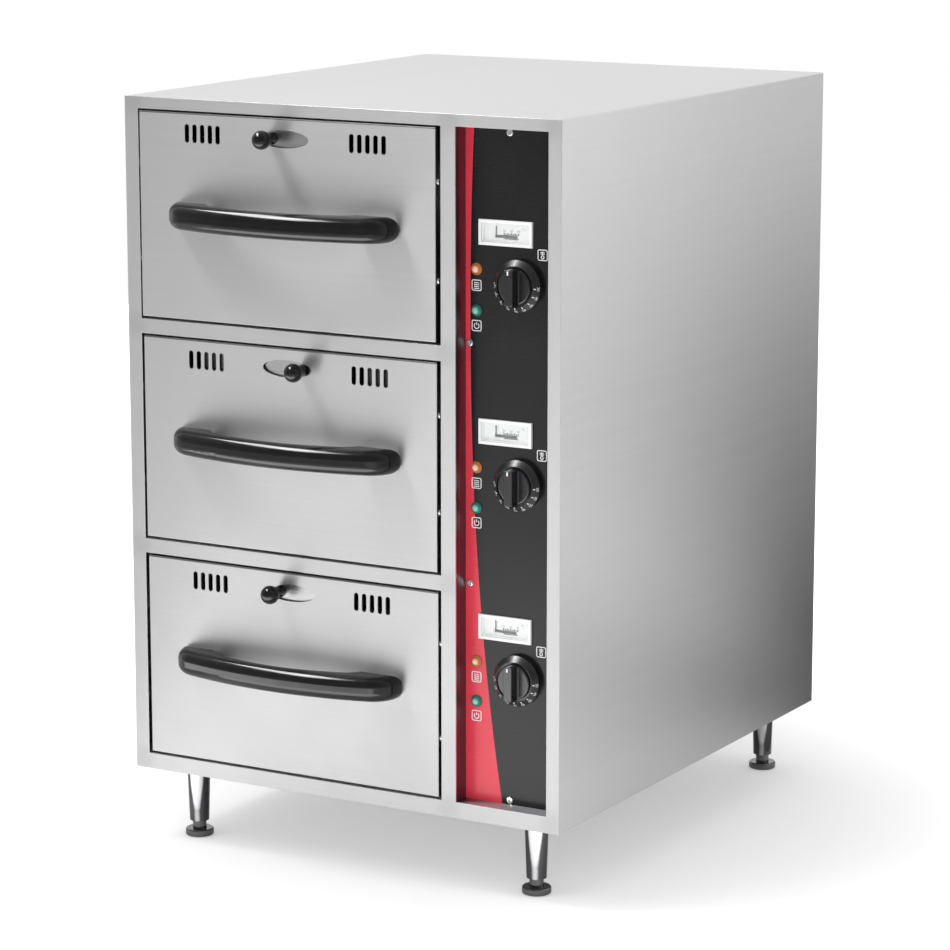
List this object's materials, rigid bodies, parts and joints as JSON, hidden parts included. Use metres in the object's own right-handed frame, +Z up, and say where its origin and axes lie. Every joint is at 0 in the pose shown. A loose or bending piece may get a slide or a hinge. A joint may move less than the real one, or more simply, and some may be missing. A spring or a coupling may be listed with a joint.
{
  "type": "warming drawer cabinet",
  "caption": "Stainless heated cabinet with stacked pull-out drawers for food pans, bow handles, vent shutters and a recessed control panel with dials and gauges.",
  "frame": {"origin": "on the floor, midway in the overall width and overall depth", "axes": "+Z up, -Y out of the drawer fronts, +X to the right as seen from the front"},
  "size_m": [0.54, 0.709, 0.838],
  "materials": {
    "amber_lens": "translucent amber",
    "panel_steel": "mill finish sheet",
    "liner_steel": "mill finish sheet, slightly heat tinted",
    "rail_steel": "zinc plated",
    "screw_steel": "bright",
    "gland_black": "moulded",
    "dial_black": "satin black with white marks",
    "inner_steel": "mill finish sheet",
    "front_steel": "brushed, upright grain",
    "pan_steel": "satin drawn sheet",
    "foot_chrome": "polished",
    "frame_steel": "brushed, grain along each member",
    "gauge_white": "satin white",
    "gauge_clear": "clear",
    "pointer_black": "black",
    "green_lens": "translucent green",
    "handle_black": "glossy black",
    "element_sheath": "dark annealed sheath",
    "mineral_wool": "fibrous board",
    "bezel_black": "black",
    "leg_chrome": "polished",
    "case_steel": "brushed, grain front to back",
    "panel_film": "printed film, black with a red band",
    "capillary_copper": "drawn copper",
    "terminal_plastic": "moulded",
    "thermostat_case": "dark moulded case",
    "knob_black": "glossy black",
    "shutter_steel": "brushed",
    "wire_sleeve": "sleeved bundle"
  },
  "bodies": {
    "cabinet": {"amber_lamps": "amber_lens", "back_panel": "panel_steel", "base_panel": "panel_steel", "bay_decks": "liner_steel", "bay_liner": "liner_steel", "cabinet_rails": "rail_steel", "cabinet_screws": "screw_steel", "cable_gland": "gland_black", "control_panel": "panel_steel", "front_frame": "frame_steel", "gauge_cases": "gauge_white", "gauge_lenses": "gauge_clear", "green_lamps": "green_lens", "heating_elements": "element_sheath", "insulation": "mineral_wool", "lamp_bezels": "bezel_black", "leg_tubes": "leg_chrome", "outer_wrap": "case_steel", "panel_film": "panel_film", "sensor_bulbs": "capillary_copper", "terminal_block": "terminal_plastic", "thermostats": "thermostat_case", "wiring_loom": "wire_sleeve"},
    "dial_1": {"dial_1": "dial_black"},
    "dial_2": {"dial_2": "dial_black"},
    "dial_3": {"dial_3": "dial_black"},
    "drawer_1": {"drawer_frame_1": "inner_steel", "drawer_front_1": "front_steel", "drawer_rails_1": "rail_steel", "drawer_screws_1": "screw_steel", "food_pan_1": "pan_steel", "handle_1": "handle_black"},
    "drawer_2": {"drawer_frame_2": "inner_steel", "drawer_front_2": "front_steel", "drawer_rails_2": "rail_steel", "drawer_screws_2": "screw_steel", "food_pan_2": "pan_steel", "handle_2": "handle_black"},
    "drawer_3": {"drawer_frame_3": "inner_steel", "drawer_front_3": "front_steel", "drawer_rails_3": "rail_steel", "drawer_screws_3": "screw_steel", "food_pan_3": "pan_steel", "handle_3": "handle_black"},
    "foot_front_left": {"foot_front_left": "foot_chrome"},
    "foot_front_right": {"foot_front_right": "foot_chrome"},
    "foot_rear_left": {"foot_rear_left": "foot_chrome"},
    "foot_rear_right": {"foot_rear_right": "foot_chrome"},
    "pointer_1": {"gauge_pointer_1": "pointer_black"},
    "pointer_2": {"gauge_pointer_2": "pointer_black"},
    "pointer_3": {"gauge_pointer_3": "pointer_black"},
    "middle_rails_body_1": {"middle_rails_1": "rail_steel"},
    "middle_rails_body_2": {"middle_rails_2": "rail_steel"},
    "middle_rails_body_3": {"middle_rails_3": "rail_steel"},
    "shutter_1": {"vent_knob_1": "knob_black", "vent_shutter_1": "shutter_steel"},
    "shutter_2": {"vent_knob_2": "knob_black", "vent_shutter_2": "shutter_steel"},
    "shutter_3": {"vent_knob_3": "knob_black", "vent_shutter_3": "shutter_steel"}
  },
  "joints": [
    {"name": "drawer_slide_1", "type": "slide", "parent": "cabinet", "child": "drawer_1", "axis": [0, -1, 0], "range_m": [0, 0.5]},
    {"name": "middle_rail_slide_1", "type": "slide", "parent": "cabinet", "child": "middle_rails_body_1", "axis": [0, -1, 0], "range_m": [0, 0.25]},
    {"name": "vent_slide_1", "type": "slide", "parent": "drawer_1", "child": "shutter_1", "axis": [1, 0, 0], "range_m": [-0.005, 0.037]},
    {"name": "dial_turn_1", "type": "hinge", "parent": "cabinet", "child": "dial_1", "pos_m": [0.2098, -0.2819, 0.6615], "axis": [0, 1, 0], "range_deg": [0, 270]},
    {"name": "pointer_turn_1", "type": "hinge", "parent": "cabinet", "child": "pointer_1", "pos_m": [0.192, -0.2529, 0.715], "axis": [0, 0, 1], "range_deg": [0, 45]},
    {"name": "drawer_slide_2", "type": "slide", "parent": "cabinet", "child": "drawer_2", "axis": [0, -1, 0], "range_m": [0, 0.5]},
    {"name": "middle_rail_slide_2", "type": "slide", "parent": "cabinet", "child": "middle_rails_body_2", "axis": [0, -1, 0], "range_m": [0, 0.25]},
    {"name": "vent_slide_2", "type": "slide", "parent": "drawer_2", "child": "shutter_2", "axis": [1, 0, 0], "range_m": [-0.041, 0.001]},
    {"name": "dial_turn_2", "type": "hinge", "parent": "cabinet", "child": "dial_2", "pos_m": [0.2098, -0.2819, 0.451], "axis": [0, 1, 0], "range_deg": [0, 270]},
    {"name": "pointer_turn_2", "type": "hinge", "parent": "cabinet", "child": "pointer_2", "pos_m": [0.192, -0.2529, 0.5045], "axis": [0, 0, 1], "range_deg": [0, 45]},
    {"name": "drawer_slide_3", "type": "slide", "parent": "cabinet", "child": "drawer_3", "axis": [0, -1, 0], "range_m": [0, 0.5]},
    {"name": "middle_rail_slide_3", "type": "slide", "parent": "cabinet", "child": "middle_rails_body_3", "axis": [0, -1, 0], "range_m": [0, 0.25]},
    {"name": "vent_slide_3", "type": "slide", "parent": "drawer_3", "child": "shutter_3", "axis": [1, 0, 0], "range_m": [-0.007, 0.035]},
    {"name": "dial_turn_3", "type": "hinge", "parent": "cabinet", "child": "dial_3", "pos_m": [0.2098, -0.2819, 0.2405], "axis": [0, 1, 0], "range_deg": [0, 270]},
    {"name": "pointer_turn_3", "type": "hinge", "parent": "cabinet", "child": "pointer_3", "pos_m": [0.192, -0.2529, 0.294], "axis": [0, 0, 1], "range_deg": [0, 45]},
    {"name": "foot_screw_front_left", "type": "slide", "parent": "cabinet", "child": "foot_front_left", "axis": [0, 0, -1], "range_m": [0, 0.025]},
    {"name": "foot_screw_front_right", "type": "slide", "parent": "cabinet", "child": "foot_front_right", "axis": [0, 0, -1], "range_m": [0, 0.025]},
    {"name": "foot_screw_rear_left", "type": "slide", "parent": "cabinet", "child": "foot_rear_left", "axis": [0, 0, -1], "range_m": [0, 0.025]},
    {"name": "foot_screw_rear_right", "type": "slide", "parent": "cabinet", "child": "foot_rear_right", "axis": [0, 0, -1], "range_m": [0, 0.025]}
  ],
  "couplings": [
    {"joint": "middle_rail_slide_1", "follows": "drawer_slide_1", "ratio": 0.5},
    {"joint": "middle_rail_slide_2", "follows": "drawer_slide_2", "ratio": 0.5},
    {"joint": "middle_rail_slide_3", "follows": "drawer_slide_3", "ratio": 0.5}
  ]
}
